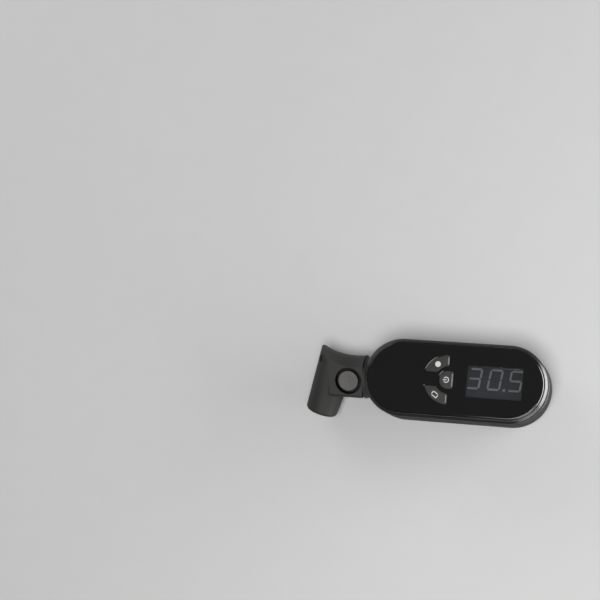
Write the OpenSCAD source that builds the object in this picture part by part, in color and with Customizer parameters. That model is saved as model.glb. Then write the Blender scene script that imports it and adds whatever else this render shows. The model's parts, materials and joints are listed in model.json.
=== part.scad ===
// Digital tyre pressure gauge: a capsule-shaped body with a display and three keys,
// and a swivelling head with a valve port and an air release button. Millimetres.
// The origin is the centre of the flat back, +X runs along the body towards the display
// and +Z comes out of the display face. The head stands at -X, as it is held in use.

/* [Body] */
// Distance between the centres of the body's two round ends
end_span = 48; // [46:0.5:56]
// Radius of the body's outline at its widest
body_r = 17.65; // [17.5:0.05:19]
// Height of the body, from its back to its face
body_h = 26; // [25.6:0.1:29]
// Distance of the seam between the two shells below the face
front_h = 6.5; // [6:0.1:8]
// Radius of the flat back's outline
back_r = 14.6; // [14.4:0.1:15]
// Height at which the back's rounded edge reaches the full outline
back_round_h = 9; // [6:0.5:12]
// Step by which the front shell stands back at the seam
seam_step = 0.05; // [0:0.05:0.3]
// Thickness of the shells' side wall
wall = 2; // [1.7:0.1:2.2]
// Thickness of the back
floor_t = 2.2; // [1.8:0.1:2.8]

/* [Face] */
// Width of the border between the gloss face and the body's outline
face_border = 1.75; // [1.45:0.05:2.15]
// Thickness of the face panel
panel_t = 1.5; // [1.2:0.1:2]
// Bevel on the face panel's upper edge
panel_bevel = 0.4; // [0.2:0.1:0.8]
// Width of the front shell's rim round the panel
rim_w = 0.35; // [0.2:0.05:0.8]
// Depth of the front shell's rim below the face
rim_drop = 0.3; // [0.1:0.1:0.8]
// Height of the front shell's bevelled shoulder
shoulder_h = 1.2; // [0.6:0.1:2.5]
// Width of the ledge that carries the panel
ledge_w = 1.5; // [1.2:0.1:2]
// Thickness of the ledge that carries the panel
ledge_t = 1.4; // [1:0.1:1.8]

/* [Display] */
// Gap between the display's frame and the screw boss beyond it
display_gap = 0.8; // [0.4:0.1:1.1]
// Width of the display's window
display_w = 25; // [22:0.1:25.4]
// Distance of the display's window from the gloss face's long edges
display_border = 8.8; // [8.4:0.1:9.9]
// Height of a digit
digit_h = 9.6; // [7:0.1:10]
// Width of a digit
digit_w = 6; // [5:0.1:6.2]
// Width of a digit's strokes
stroke_w = 0.85; // [0.7:0.05:1.2]
// Slant of the digits
digit_slant = 8; // [0:1:12]
// Blank margin beside the digits
digit_margin = 0.3; // [0.2:0.1:1.2]
// Blank margin above the digits
digit_top = 0.6; // [0.4:0.1:1.6]

/* [Keys] */
// Distance of the keys' common centre from the body's centre
key_x = -2.7; // [-3.5:0.1:-2.4]
// Inner radius of the two sector keys
key_r_in = 6.15; // [5.8:0.05:6.6]
// Outer radius of the two sector keys
key_r_out = 11.1; // [10.8:0.1:11.8]
// Distance of a sector key's lower edge from the body's long axis
key_low = 3.1; // [2.6:0.1:3.6]
// Radius of the middle key
power_r = 4.1; // [3.6:0.1:4.3]
// Distance of the middle key's flat side from the keys' centre
power_flat = 2.2; // [1.9:0.1:3]
// Height of the keys above the face
key_proud = 0.35; // [0.2:0.05:0.8]
// Travel of a key
key_travel = 0.5; // [0.3:0.05:0.6]

/* [Neck] */
// Distance of the head's swivel axis below the seam
neck_drop = 6.5; // [6.3:0.1:7]
// Radius of the neck's collar
collar_r = 9.8; // [9.4:0.1:10.2]
// Length of the collar outside the body's end
collar_out = 1.35; // [0.8:0.05:3]
// Radius of the hollow shaft that the head turns on
shaft_r = 4; // [3.6:0.1:4.2]
// Radius of the shaft's air passage
passage_r = 1.5; // [1:0.1:1.8]

/* [Head] */
// Distance from the collar's face to the middle of the head's tube
arm_len = 16.2; // [16:0.1:20]
// Radius of the head's round arm
arm_r = 10.9; // [10.4:0.1:11.2]
// Height of the arm's flat front above the swivel axis
arm_front = 8; // [7.8:0.1:8.6]
// Depth of the arm's flat back behind the swivel axis
arm_back = 8.2; // [7.8:0.1:8.6]
// Depth of the arm's flat underside below the swivel axis
arm_low = 8.6; // [8.2:0.1:9.4]
// Turn of the head about the swivel axis, as the part is stored
swivel = 18; // [0:1:25]
// Lean of the tube across the swivel axis
lean = 17; // [8:1:20]
// Length of the tube below the swivel axis
tube_down = 18.6; // [17.5:0.1:19]
// Length of the tube above the swivel axis
tube_up = 14; // [12:0.1:16]
// Radius of the tube at its lower end
tube_r_low = 7.3; // [7.1:0.1:7.6]
// Radius of the tube at its upper end
tube_r_high = 9.2; // [8.8:0.1:9.6]
// Rounding of the tube's lower edge
tube_round = 1.5; // [0.6:0.1:1.6]
// Radius of the hollow along the thumb saddle on the head's top
saddle_r = 32; // [30:0.5:45]
// Distance of the saddle's lowest line from the swivel axis
saddle_low = 9.9; // [9.8:0.1:10.4]
// Distance of the saddle's lowest line from the tube's middle
saddle_x = 10.5; // [10:0.5:13]

/* [Valve port] */
// Radius of the opening for the wheel valve
port_r = 4.1; // [3.95:0.05:4.3]
// Depth of the opening for the wheel valve
port_depth = 6; // [5:0.1:7]
// Length of the close guide at the opening's mouth
port_guide = 3.2; // [2.4:0.1:3.4]
// Thickness of the rubber washer that seals on the valve
washer_t = 1.6; // [1.2:0.1:2]
// Radius of the rubber washer's hole
washer_r = 2.6; // [2.2:0.1:2.9]

/* [Release button] */
// Distance of the button's centre from the tube's middle
button_x = 9.2; // [9:0.05:9.3]
// Height of the button's centre above the swivel axis
button_y = -0.6; // [-0.8:0.1:0]
// Radius of the button
button_r = 4.65; // [4.3:0.05:5]
// Radius of the button's well
well_r = 6; // [5.6:0.1:6.2]
// Travel of the button
button_travel = 1; // [0.6:0.1:1]

/* [Battery] */
// Distance of the cell's centre from the centre of the body's round end
cell_in = 10; // [8.5:0.1:10.4]
// Radius of the coin cell
cell_r = 10; // [9:0.1:10.2]
// Thickness of the coin cell
cell_t = 3.2; // [2.5:0.1:3.6]
// Turn of the battery door from locked to free
door_turn = 60; // [45:1:75]

/* [Clearances] */
// Gap between pieces that are fixed to each other
fit_gap = 0.05; // [0.03:0.01:0.1]
// Radial gap between the shaft and what it turns in
run_gap = 0.06; // [0.04:0.01:0.1]
// Gap beside keys, button and battery door
move_gap = 0.2; // [0.15:0.01:0.3]

/* [Hidden] */
$fn = 96;
ARC_STEPS = 8;

// How far a cut runs past what it cuts
cut = 1;

// Heights in the stack under the face
panel_z = body_h - panel_t;
gasket_t = 0.3;
ledge_top = panel_z - gasket_t;
ledge_bottom = ledge_top - ledge_t;
lens_flange_t = 0.6;
lens_flange_w = 1;
lens_z = panel_z - lens_flange_t;
segment_t = 0.05;
lcd_air = 0.1;
lcd_t = 2;
lcd_z = lens_z - lcd_air - segment_t - lcd_t;
backlight_t = 1.4;
board_t = 1.2;
board_top = lcd_z - backlight_t;
board_z = board_top - board_t;

// Outlines of the shells and of the seam between them
seam_h = body_h - front_h;
seam_gap = 0.25;
tongue_h = 1;
seal_t = 0.6;
inner_r = body_r - wall;
tongue_r = body_r - wall / 2;
face_r = body_r - face_border;
panel_seat_r = face_r + 3 * fit_gap;
rim_r = panel_seat_r + rim_w;
rim_z = body_h - rim_drop;
ledge_r = face_r - ledge_w;
rebate_z = seam_h + tongue_h + seal_t;
front_z = seam_h + seam_gap;
front_r = body_r - seam_step;

// Screws
case_shank_r = 1.3;
case_head_r = 2.4;
case_head_h = 1.6;
case_len = 15;
case_sink = 2.4;
small_shank_r = 0.9;
small_head_r = 1.7;
small_head_h = 1.1;
small_len = 5;
screw_gap = 0.1;
boss_r = 2.7;
boss_split = 9;
boss_wall_gap = 0.45;
boss_d = inner_r - boss_r - boss_wall_gap;
head_end_angle = 60;
board_wall_gap = 1.5;
board_boss_gap = 0.3;
board_r = inner_r - board_wall_gap;
post_r = 2.2;
post_edge = 2.2;
post_y = board_r - post_edge;
post_in = 4;
post_out = 3;
post_xs = [-end_span / 2 + post_in, end_span / 2 + post_out];
recess_length = 1.2;
recess_width = 0.26;
recess_depth = 0.5;

// Display stack in plan
display_h = 2 * (face_r - display_border);
lcd_border = 1.5;
lcd_w = display_w + 2 * lcd_border;
lcd_h = display_h + 2 * lcd_border;
frame_wall = 1.1;
display_x = end_span / 2 + boss_d - boss_r - display_gap - frame_wall - lcd_w / 2;
zebra_w = 1;
zebra_gap = 0.2;
zebra_y = lcd_h / 2 - zebra_w / 2 - zebra_gap;
digit_step = (display_w - digit_w) / 2 - digit_margin;
digit_y = (display_h - digit_h) / 2 - digit_top;
stroke_gap = 0.1;
stroke_point = 0.6;
point_r = 0.6;

// Keys
key_lip = 0.7;
key_lip_t = 0.85;
key_top = body_h + key_proud;
key_lip_z = panel_z - fit_gap - key_lip_t;
dome_r = 2;
dome_rest = 0.3;
dome_h = key_travel + dome_rest;
dome_t = 0.15;
plunger_r = 1.1;
plunger_z = board_top + dome_h + fit_gap;
sector_mid_r = (key_r_in + key_r_out) / 2;
sector_mid_angle = 125;

// Battery
cell_x = end_span / 2 - cell_in;
door_step = 0.8;
door_floor = floor_t + door_step;
door_lip_w = 3.2;
door_lip_r = cell_r + door_lip_w;
door_lip_t = 1.2;
cell_pass = 0.6;
door_hole_r = cell_r + cell_pass;
door_ring_w = 1;
door_plug_r = door_hole_r - move_gap;
door_inset = 0.1;
door_seat = 0.2;
recess_t = door_inset + door_lip_t + door_seat;
lug_reach = 1.5;
lug_r = door_plug_r + lug_reach;
lug_t = 1;
lug_half = 12;
slot_ease = 3;
slot_half = lug_half + slot_ease;
lug_gap = 0.1;
lug_z = door_floor + lug_gap;
door_top = lug_z + lug_t;
door_rise = 0.3;
contact_room = 0.5;
cell_z = door_top + fit_gap;
holder_gap = 0.35;
holder_r_in = cell_r + holder_gap;
holder_r_out = door_lip_r;
holder_z = door_top + door_rise;
holder_roof = cell_z + cell_t + contact_room;
holder_roof_t = 1.2;
holder_hole_r = 6;
contact_t = 0.25;
contact_post_r = 0.6;
contact_plate_r = 7;
contact_reach = 3;
contact_angle = 20;
post_hole_r = 0.9;

// Neck, all distances along X
neck_h = seam_h - neck_drop;
end_x = end_span / 2 + body_r;
collar_x = -end_x - collar_out;
spigot_wall = 1.15;
spigot_r = shaft_r + run_gap + spigot_wall;
pad_seam_gap = 0.3;
pad_r = neck_drop - pad_seam_gap;
pad_t = 1.8;
pad_x = -end_x + wall + pad_t;
nut_proud = 0.6;
nut_r = pad_r + nut_proud;
nut_t = 1.5;
nut_x = pad_x;
washer_x = nut_x + nut_t + fit_gap;
thrust_t = 0.6;
clip_t = 0.7;
clip_r = 6;
thrust_proud = 0.2;
thrust_r = clip_r + thrust_proud;
clip_x = washer_x + thrust_t + fit_gap;
clip_bite = 0.8;
clip_groove_r = shaft_r - clip_bite;
clip_gap = 0.4;
manifold_x = clip_x + clip_t + clip_gap;
shaft_in = 9;
shaft_x = manifold_x + shaft_in;
shaft_end_gap = 0.8;
ring_wire = 0.44;
ring_groove_t = 0.9;
ring_groove_r = shaft_r - ring_groove_t;
ring_groove_w = 1.2;
ring_first = 2.4;
ring_step = 3;
ring_xs = [manifold_x + ring_first, manifold_x + ring_first + ring_step];
nut_room = 1.2;
board_notch = 2 * (nut_r + nut_room);

// Manifold and sensor
sensor_r = 4.2;
sensor_gap = 0.3;
sensor_wall = 1.25;
sensor_pocket_r = sensor_r + sensor_gap;
sensor_x = shaft_x + shaft_end_gap + sensor_wall + sensor_pocket_r;
sensor_seal_wire = 0.5;
nozzle_r = 1.6;
nozzle_len = 2;
manifold_side = 2.4;
manifold_roof = 1.2;
manifold_end_wall = 1.9;
manifold_half_w = shaft_r + manifold_side;
manifold_top = neck_h + shaft_r + manifold_roof;
manifold_end = sensor_x + sensor_pocket_r + manifold_end_wall;
pocket_depth = 3.8;
pocket_z = manifold_top - pocket_depth;
nozzle_gap = 0.1;
sensor_z = pocket_z + 2 * sensor_seal_wire;
lug_block_r = 2.5;
lug_block_t = 2;
lug_post_h = 3;
lug_block_out = 2.2;
lug_block_y = manifold_half_w + lug_block_out;
lug_block_past = 3.5;
lug_block_x = sensor_x + lug_block_past;

// Head, in its own frame: X towards the body, Y up, Z to the front
head_gap = 0.3;
tube_x = collar_x - arm_len;
arm_end = arm_len - head_gap;
shaft_seat = 4.2;
shaft_seat_x = arm_end - shaft_seat;
nose_wall = 1.3;
nose_r = tube_r_low - nose_wall;
port_relief = 0.4;
chamber_r = 3;
chamber_top = 3;
pin_r = 0.9;
pin_base_t = 1.2;
pin_proud = 2.2;
pin_hole_r = 0.6;
vent_r = 1.65;
vent_up = 6.8;
vent_turn = 37;
vent_depth = 4;
vent_drill_r = 0.7;
vent_well_in = 0.9;
vent_well_h = 0.8;
vent_well_turn = 45;

// Release valve, along Z in the head's frame
well_depth = 3.4;
well_z = arm_front - well_depth;
well_bevel = 0.2;
guide_lip_t = 0.5;
guide_lip_gap = 0.2;
guide_lip_r = well_r - guide_lip_gap;
valve_r = 2.2;
valve_bottom = -1.9;
guide_len = 1.5;
guide_z = well_z - guide_len;
stem_r = 0.95;
stem_gap = 0.1;
button_t = 1.1;
button_stop_gap = 0.1;
button_skirt = well_depth - guide_lip_t - button_t - button_travel - button_stop_gap;
button_skirt_w = 0.7;
stem_cover = 0.5;
stem_top = arm_front - stem_cover;
poppet_r = 1.9;
poppet_t = 1;
release_wire = 0.33;
poppet_z = guide_z - 2 * release_wire - fit_gap - poppet_t;
spring_wire_r = 0.14;
spring_r = 2.9;
spring_turns = 2;
spring_gap = 0.02;
spring_low = well_z + guide_lip_t + spring_wire_r + spring_gap;
spring_high = arm_front - button_t - spring_wire_r - spring_gap;
SPRING_SIDES = 6;
SPRING_STEPS = 20;

// Points on a quarter ellipse about [r0, z0], between two angles
function quarter(r0, z0, dr, dz, from, to) = [
    for (i = [0 : ARC_STEPS])
        let (a = from + (to - from) * i / ARC_STEPS)
            [r0 + dr * cos(a), z0 + dz * sin(a)]
];

// Sweeps a half profile, [radius, height], round a capsule of the body's length
module capsule_sweep(profile) {
    for (side = [-1, 1])
        translate([side * end_span / 2, 0, 0])
            rotate([0, 0, -90 * side])
                rotate_extrude(angle = 180)
                    polygon(profile);
    rotate([90, 0, 90])
        linear_extrude(end_span, center = true) {
            polygon(profile);
            mirror([1, 0]) polygon(profile);
        }
}

module capsule_plate(r, z, t) {
    capsule_sweep([[0, z], [r, z], [r, z + t], [0, z + t]]);
}

module capsule_ring(r_in, r_out, z, t) {
    capsule_sweep([[r_in, z], [r_out, z], [r_out, z + t], [r_in, z + t]]);
}

module ring(r_in, r_out, h) {
    difference() {
        cylinder(r = r_out, h = h);
        translate([0, 0, -cut]) cylinder(r = r_in, h = h + 2 * cut);
    }
}

// Round rubber ring with the given wire radius
module o_ring(middle_r, wire_r) {
    rotate_extrude() translate([middle_r, 0]) circle(wire_r, $fn = 32);
}

// Screw with its head's top at the origin, running down, with a cross recess in its head
module screw(head_r, head_h, shank_r, len) {
    difference() {
        union() {
            translate([0, 0, -head_h]) cylinder(r = head_r, h = head_h);
            translate([0, 0, -len]) cylinder(r = shank_r, h = len);
        }
        for (turn = [0, 90])
            rotate([0, 0, turn])
                translate([-head_r * recess_length / 2, -head_r * recess_width / 2, -head_h * recess_depth])
                    cube([head_r * recess_length, head_r * recess_width, head_h]);
    }
}

// Places for what sits along the swivel axis, with the child's Z along +X
module along_neck(x) {
    translate([x, 0, neck_h]) rotate([0, 90, 0]) children();
}

module in_head() {
    translate([tube_x, 0, neck_h]) rotate([swivel, 0, 0]) children();
}

// Child's Z runs up the tube, from the swivel axis
module in_tube() {
    in_head() rotate([0, 0, -lean]) rotate([-90, 0, 0]) children();
}

module in_button() {
    in_head() translate([button_x, button_y, 0]) children();
}

// The three places of the case screws
module at_case_screws() {
    translate([end_span / 2 + boss_d, 0, 0]) children();
    for (side = [-1, 1])
        translate([
            -end_span / 2 - boss_d * cos(head_end_angle),
            side * boss_d * sin(head_end_angle),
            0
        ]) children();
}

module at_board_screws() {
    for (x = post_xs)
        for (side = [-1, 1])
            translate([x, side * post_y, 0]) children();
}

module at_manifold_screws() {
    for (side = [-1, 1])
        translate([lug_block_x, side * lug_block_y, 0]) children();
}

// Wedge of a disc, half_angle to each side of the angle
module wedge(r, angle, half_angle, z, h) {
    rotate([0, 0, angle])
        intersection() {
            translate([0, 0, z]) cylinder(r = r, h = h);
            for (side = [0, 1])
                mirror([0, side, 0])
                    rotate([0, 0, half_angle])
                        translate([0, -2 * r * tan(half_angle), z])
                            cube([2 * r, 2 * r * tan(half_angle), h]);
        }
}

// Body shells
module rear_profile() {
    profile = concat(
        [[0, 0]],
        quarter(back_r, back_round_h, body_r - back_r, back_round_h, -90, 0),
        [
            [body_r, seam_h],
            [tongue_r, seam_h],
            [tongue_r, seam_h + tongue_h],
            [inner_r, seam_h + tongue_h]
        ],
        quarter(back_r, back_round_h, inner_r - back_r, back_round_h - floor_t, 0, -90),
        [[0, floor_t]]
    );
    capsule_sweep(profile);
}

// Outline of the whole body, grown a little, to cut what meets its end
module body_outline(grow) {
    profile = concat(
        [[0, -cut]],
        quarter(back_r, back_round_h, body_r - back_r + grow, back_round_h + grow, -90, 0),
        [[body_r + grow, seam_h], [body_r + grow, body_h], [0, body_h]]
    );
    capsule_sweep(profile);
}

module rear_shell() {
    root_z = floor_t / 2;
    color([0.13, 0.13, 0.13]) difference() {
        union() {
            rear_profile();
            translate([cell_x, 0, root_z]) cylinder(r = door_lip_r + door_ring_w, h = door_floor - root_z);
            at_case_screws() translate([0, 0, root_z]) cylinder(r = boss_r, h = boss_split - root_z);
            at_board_screws() translate([0, 0, root_z]) cylinder(r = post_r, h = board_z - root_z);
            at_manifold_screws()
                translate([0, 0, root_z]) cylinder(r = lug_block_r, h = floor_t + lug_post_h - root_z);
            intersection() {
                along_neck(-end_x) cylinder(r = pad_r, h = pad_x + end_x);
                body_outline(-wall / 2);
            }
        }
        along_neck(-end_x - cut) cylinder(r = spigot_r + fit_gap, h = pad_x + end_x + 2 * cut);
        translate([cell_x, 0, -cut]) cylinder(r = door_lip_r + move_gap, h = cut + recess_t);
        translate([cell_x, 0, -cut]) cylinder(r = door_hole_r, h = door_floor + 2 * cut);
        for (half_turn = [0, 180])
            translate([cell_x, 0, 0])
                wedge(lug_r + move_gap, door_turn + half_turn, slot_half, 0, door_floor + cut);
        at_case_screws() {
            translate([0, 0, -cut]) cylinder(r = case_head_r + screw_gap, h = cut + case_sink);
            translate([0, 0, -cut]) cylinder(r = case_shank_r + screw_gap, h = boss_split + 2 * cut);
        }
        at_board_screws()
            translate([0, 0, board_z - small_len])
                cylinder(r = small_shank_r + screw_gap, h = small_len + cut);
        at_manifold_screws()
            translate([0, 0, floor_t]) cylinder(r = small_shank_r + screw_gap, h = lug_post_h + cut);
    }
}

module front_shell() {
    profile = concat(
        [
            [front_r, front_z],
            [front_r, rim_z - shoulder_h],
            [rim_r, rim_z],
            [panel_seat_r, rim_z],
            [panel_seat_r, ledge_top],
            [ledge_r, ledge_top],
            [ledge_r, ledge_bottom]
        ],
        quarter(ledge_r, rebate_z, inner_r - ledge_r, ledge_bottom - rebate_z, 90, 0),
        [[tongue_r + fit_gap, rebate_z], [tongue_r + fit_gap, front_z]]
    );
    color([0.16, 0.16, 0.16]) difference() {
        union() {
            capsule_sweep(profile);
            at_case_screws()
                translate([0, 0, boss_split + fit_gap])
                    cylinder(r = boss_r, h = ledge_top - boss_split - fit_gap);
        }
        at_case_screws()
            translate([0, 0, boss_split]) cylinder(r = case_shank_r + screw_gap, h = case_len);
    }
}

module shell_seal() {
    color([0.35, 0.35, 0.37])
        capsule_ring(inner_r, tongue_r, seam_h + tongue_h + fit_gap, seal_t - 2 * fit_gap);
}

module case_screws() {
    color("silver") at_case_screws()
        translate([0, 0, case_sink]) mirror([0, 0, 1])
            translate([0, 0, case_head_h])
                screw(case_head_r, case_head_h, case_shank_r, case_len);
}

// Face and display
module display_box(grow, z, h) {
    translate([display_x - display_w / 2 - grow, -display_h / 2 - grow, z])
        cube([display_w + 2 * grow, display_h + 2 * grow, h]);
}

module face_panel() {
    profile = [
        [0, panel_z], [face_r, panel_z], [face_r, body_h - panel_bevel],
        [face_r - panel_bevel, body_h], [0, body_h]
    ];
    color([0.05, 0.05, 0.055]) difference() {
        capsule_sweep(profile);
        display_box(fit_gap, panel_z - cut, panel_t + 2 * cut);
        translate([0, 0, panel_z - cut]) linear_extrude(panel_t + 2 * cut) {
            for (side = [-1, 1]) sector_outline(side, move_gap);
            power_outline(move_gap);
        }
    }
}

module panel_gasket() {
    color([0.2, 0.2, 0.2])
        capsule_ring(ledge_r, face_r, ledge_top + fit_gap / 2, gasket_t - fit_gap);
}

module display_lens() {
    color([0.6, 0.65, 0.7, 0.4]) {
        display_box(0, lens_z, panel_t + lens_flange_t);
        display_box(lens_flange_w, lens_z, lens_flange_t - fit_gap);
    }
}

module lcd_glass() {
    color([0.2, 0.22, 0.26])
        translate([display_x - lcd_w / 2, -lcd_h / 2, lcd_z]) cube([lcd_w, lcd_h, lcd_t]);
}

// A stroke of a digit between two points, with pointed ends, leaning by the digits' slant
function lean_over(p) = [p[0] + p[1] * tan(digit_slant), p[1]];

module stroke(p, q) {
    along = (q - p) / norm(q - p);
    across = [-along[1], along[0]] * stroke_w / 2;
    inset = along * stroke_w * stroke_gap;
    point = along * stroke_w * stroke_point;
    corners = [
        p + inset, p + point + across, q - point + across,
        q - inset, q - point - across, p + point - across
    ];
    polygon([for (corner = corners) lean_over(corner)]);
}

// Seven strokes in the usual order, top, right upper, right lower, bottom, left lower, left upper, middle
module digit(strokes) {
    w = (digit_w - stroke_w) / 2;
    h = (digit_h - stroke_w) / 2;
    ends = [
        [[-w, h], [w, h]], [[w, h], [w, 0]], [[w, 0], [w, -h]], [[-w, -h], [w, -h]],
        [[-w, 0], [-w, -h]], [[-w, h], [-w, 0]], [[-w, 0], [w, 0]]
    ];
    for (i = strokes) stroke(ends[i][0], ends[i][1]);
}

module lcd_segments() {
    three = [0, 1, 2, 3, 6];
    zero = [0, 1, 2, 3, 4, 5];
    five = [0, 2, 3, 5, 6];
    shown = [three, zero, five];
    color([0.75, 0.78, 0.82])
        translate([display_x, digit_y, lcd_z + lcd_t]) linear_extrude(segment_t) {
            for (i = [0 : 2])
                translate([digit_step * (i - 1), 0]) digit(shown[i]);
            translate([(digit_step - digit_h * tan(digit_slant) / 2) / 2, (stroke_w - digit_h) / 2])
                circle(point_r, $fn = 24);
        }
}

module lcd_frame() {
    color([0.85, 0.85, 0.83]) difference() {
        translate([display_x - lcd_w / 2 - frame_wall, -lcd_h / 2 - frame_wall, board_top])
            cube([lcd_w + 2 * frame_wall, lcd_h + 2 * frame_wall, backlight_t + lcd_t]);
        translate([display_x - lcd_w / 2 - fit_gap, -lcd_h / 2 - fit_gap, board_top - cut])
            cube([lcd_w + 2 * fit_gap, lcd_h + 2 * fit_gap, backlight_t + lcd_t + 2 * cut]);
    }
}

module backlight_panel() {
    light_w = lcd_w - 2 * zebra_gap;
    light_h = 2 * zebra_y - zebra_w - 2 * zebra_gap;
    color([0.92, 0.93, 0.9])
        translate([display_x - light_w / 2, -light_h / 2, board_top])
            cube([light_w, light_h, backlight_t]);
}

module zebra_strips() {
    strip_l = lcd_w - 2 * zebra_w;
    color([0.3, 0.3, 0.32]) for (side = [-1, 1])
        translate([display_x - strip_l / 2, side * zebra_y - zebra_w / 2, board_top])
            cube([strip_l, zebra_w, backlight_t]);
}

// Circuit board
module circuit_board() {
    hole_h = board_t + 2 * cut;
    color([0.1, 0.35, 0.2]) difference() {
        capsule_plate(board_r, board_z, board_t);
        translate([0, 0, board_z - cut]) {
            at_case_screws() cylinder(r = boss_r + board_boss_gap, h = hole_h);
            at_board_screws() cylinder(r = small_shank_r + screw_gap, h = hole_h);
            translate([-end_x, -board_notch / 2, 0]) cube([manifold_x + end_x, board_notch, hole_h]);
        }
    }
}

module board_chips() {
    chip_t = 1.2;
    chip_w = 7;
    small_chip_w = 3;
    small_chip_x = 5;
    small_chip_y = 5;
    color([0.1, 0.1, 0.1]) translate([-end_span / 2, 0, board_top]) {
        translate([-chip_w / 2, -chip_w / 2, 0]) cube([chip_w, chip_w, chip_t]);
        translate([small_chip_x, small_chip_y, 0]) cube([small_chip_w, small_chip_w, chip_t]);
    }
}

module board_screws() {
    color("silver") at_board_screws()
        translate([0, 0, board_top + small_head_h])
            screw(small_head_r, small_head_h, small_shank_r, small_len);
}

// Keys: side is 1 for the upper sector and -1 for the lower one
module sector_outline(side, grow) {
    translate([key_x, 0]) mirror([0, side < 0 ? 1 : 0]) intersection() {
        difference() {
            circle(key_r_out + grow);
            circle(key_r_in - grow);
        }
        translate([-2 * key_r_out, key_low - grow]) square([2 * key_r_out + grow, 2 * key_r_out]);
    }
}

module power_outline(grow) {
    translate([key_x, 0]) intersection() {
        circle(power_r + grow);
        translate([-2 * power_r, -2 * power_r]) square([2 * power_r + power_flat + grow, 4 * power_r]);
    }
}

function sector_mid(side) = [
    key_x + sector_mid_r * cos(sector_mid_angle),
    side * sector_mid_r * sin(sector_mid_angle)
];

module sector_key(side) {
    translate([0, 0, key_lip_z]) linear_extrude(key_top - key_lip_z) sector_outline(side, 0);
    translate([0, 0, key_lip_z]) linear_extrude(key_lip_t) sector_outline(side, key_lip);
    translate(sector_mid(side))
        translate([0, 0, plunger_z]) cylinder(r = plunger_r, h = key_lip_z + key_lip_t - plunger_z);
}

module light_key() {
    color([0.24, 0.24, 0.24]) sector_key(1);
}

module mode_key() {
    color([0.24, 0.24, 0.24]) sector_key(-1);
}

module power_key() {
    color([0.24, 0.24, 0.24]) {
        translate([0, 0, key_lip_z]) linear_extrude(key_top - key_lip_z) power_outline(0);
        translate([0, 0, key_lip_z]) linear_extrude(key_lip_t) power_outline(key_lip);
        translate([key_x, 0, plunger_z]) cylinder(r = plunger_r, h = key_lip_z + key_lip_t - plunger_z);
    }
}

// Snap dome under a key, a thin cap standing on the board
module dome(p) {
    color("silver") translate([p[0], p[1], board_top])
        rotate_extrude()
            polygon(concat(
                quarter(0, 0, dome_r, dome_h, 0, 90),
                quarter(0, 0, dome_r - dome_t, dome_h - dome_t, 90, 0)
            ));
}

module light_dome() dome(sector_mid(1));
module mode_dome() dome(sector_mid(-1));
module power_dome() dome([key_x, 0]);

// Sensor and manifold
module pressure_sensor() {
    color([0.8, 0.68, 0.35]) translate([sensor_x, 0, 0]) difference() {
        union() {
            translate([0, 0, sensor_z]) cylinder(r = sensor_r, h = board_z - sensor_z);
            translate([0, 0, sensor_z - nozzle_len]) cylinder(r = nozzle_r, h = nozzle_len + cut);
        }
        translate([0, 0, sensor_z - nozzle_len - cut]) cylinder(r = nozzle_r / 2, h = nozzle_len + 2 * cut);
    }
}

module sensor_seal() {
    color([0.15, 0.15, 0.15])
        translate([sensor_x, 0, pocket_z + sensor_seal_wire])
            o_ring(nozzle_r + sensor_seal_wire + fit_gap, sensor_seal_wire - fit_gap / 2);
}

module air_manifold() {
    lug_z0 = floor_t + lug_post_h;
    color([0.55, 0.55, 0.52]) difference() {
        union() {
            translate([manifold_x, -manifold_half_w, floor_t])
                cube([manifold_end - manifold_x, 2 * manifold_half_w, manifold_top - floor_t]);
            at_manifold_screws() translate([0, 0, lug_z0]) cylinder(r = lug_block_r, h = lug_block_t);
            translate([lug_block_x - lug_block_r, -lug_block_y, lug_z0])
                cube([2 * lug_block_r, 2 * lug_block_y, lug_block_t]);
        }
        along_neck(manifold_x - cut) cylinder(r = shaft_r + run_gap, h = cut + shaft_in + shaft_end_gap);
        along_neck(manifold_x) cylinder(r = passage_r, h = sensor_x - manifold_x);
        translate([sensor_x, 0, pocket_z]) cylinder(r = sensor_pocket_r, h = manifold_top);
        translate([sensor_x, 0, neck_h - passage_r]) cylinder(r = nozzle_r + nozzle_gap, h = manifold_top);
        at_manifold_screws() {
            translate([0, 0, lug_z0 - cut])
                cylinder(r = small_shank_r + screw_gap, h = lug_block_t + 2 * cut);
            translate([0, 0, lug_z0 - lug_post_h - cut])
                cylinder(r = lug_block_r + fit_gap, h = cut + lug_post_h);
        }
    }
}

module manifold_screws() {
    color("silver") at_manifold_screws()
        translate([0, 0, floor_t + lug_post_h + lug_block_t + small_head_h])
            screw(small_head_r, small_head_h, small_shank_r, small_len);
}

// Battery
module coin_cell() {
    cell_step_t = 0.5;
    cell_step_w = 1.2;
    color([0.78, 0.78, 0.8]) translate([cell_x, 0, cell_z]) {
        cylinder(r = cell_r, h = cell_t - cell_step_t);
        cylinder(r = cell_r - cell_step_w, h = cell_t);
    }
}

module battery_holder() {
    profile = [
        [lug_r + 2 * move_gap, door_floor], [holder_r_out, door_floor],
        [holder_r_out, holder_roof + holder_roof_t], [holder_hole_r, holder_roof + holder_roof_t],
        [holder_hole_r, holder_roof], [holder_r_in, holder_roof],
        [holder_r_in, holder_z], [lug_r + 2 * move_gap, holder_z]
    ];
    color([0.3, 0.3, 0.3]) translate([cell_x, 0, 0]) difference() {
        rotate_extrude() polygon(profile);
        translate([-cell_r - contact_t / 2 - fit_gap, 0, holder_roof - cut])
            cylinder(r = post_hole_r, h = holder_roof_t + 2 * cut);
    }
}

module contact_negative() {
    plate_z = cell_z + cell_t + fit_gap;
    color([0.85, 0.8, 0.6]) translate([cell_x, 0, 0]) {
        translate([0, 0, plate_z]) cylinder(r = contact_plate_r, h = contact_t);
        translate([contact_reach, 0, plate_z]) cylinder(r = contact_post_r, h = board_z - plate_z);
    }
}

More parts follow.
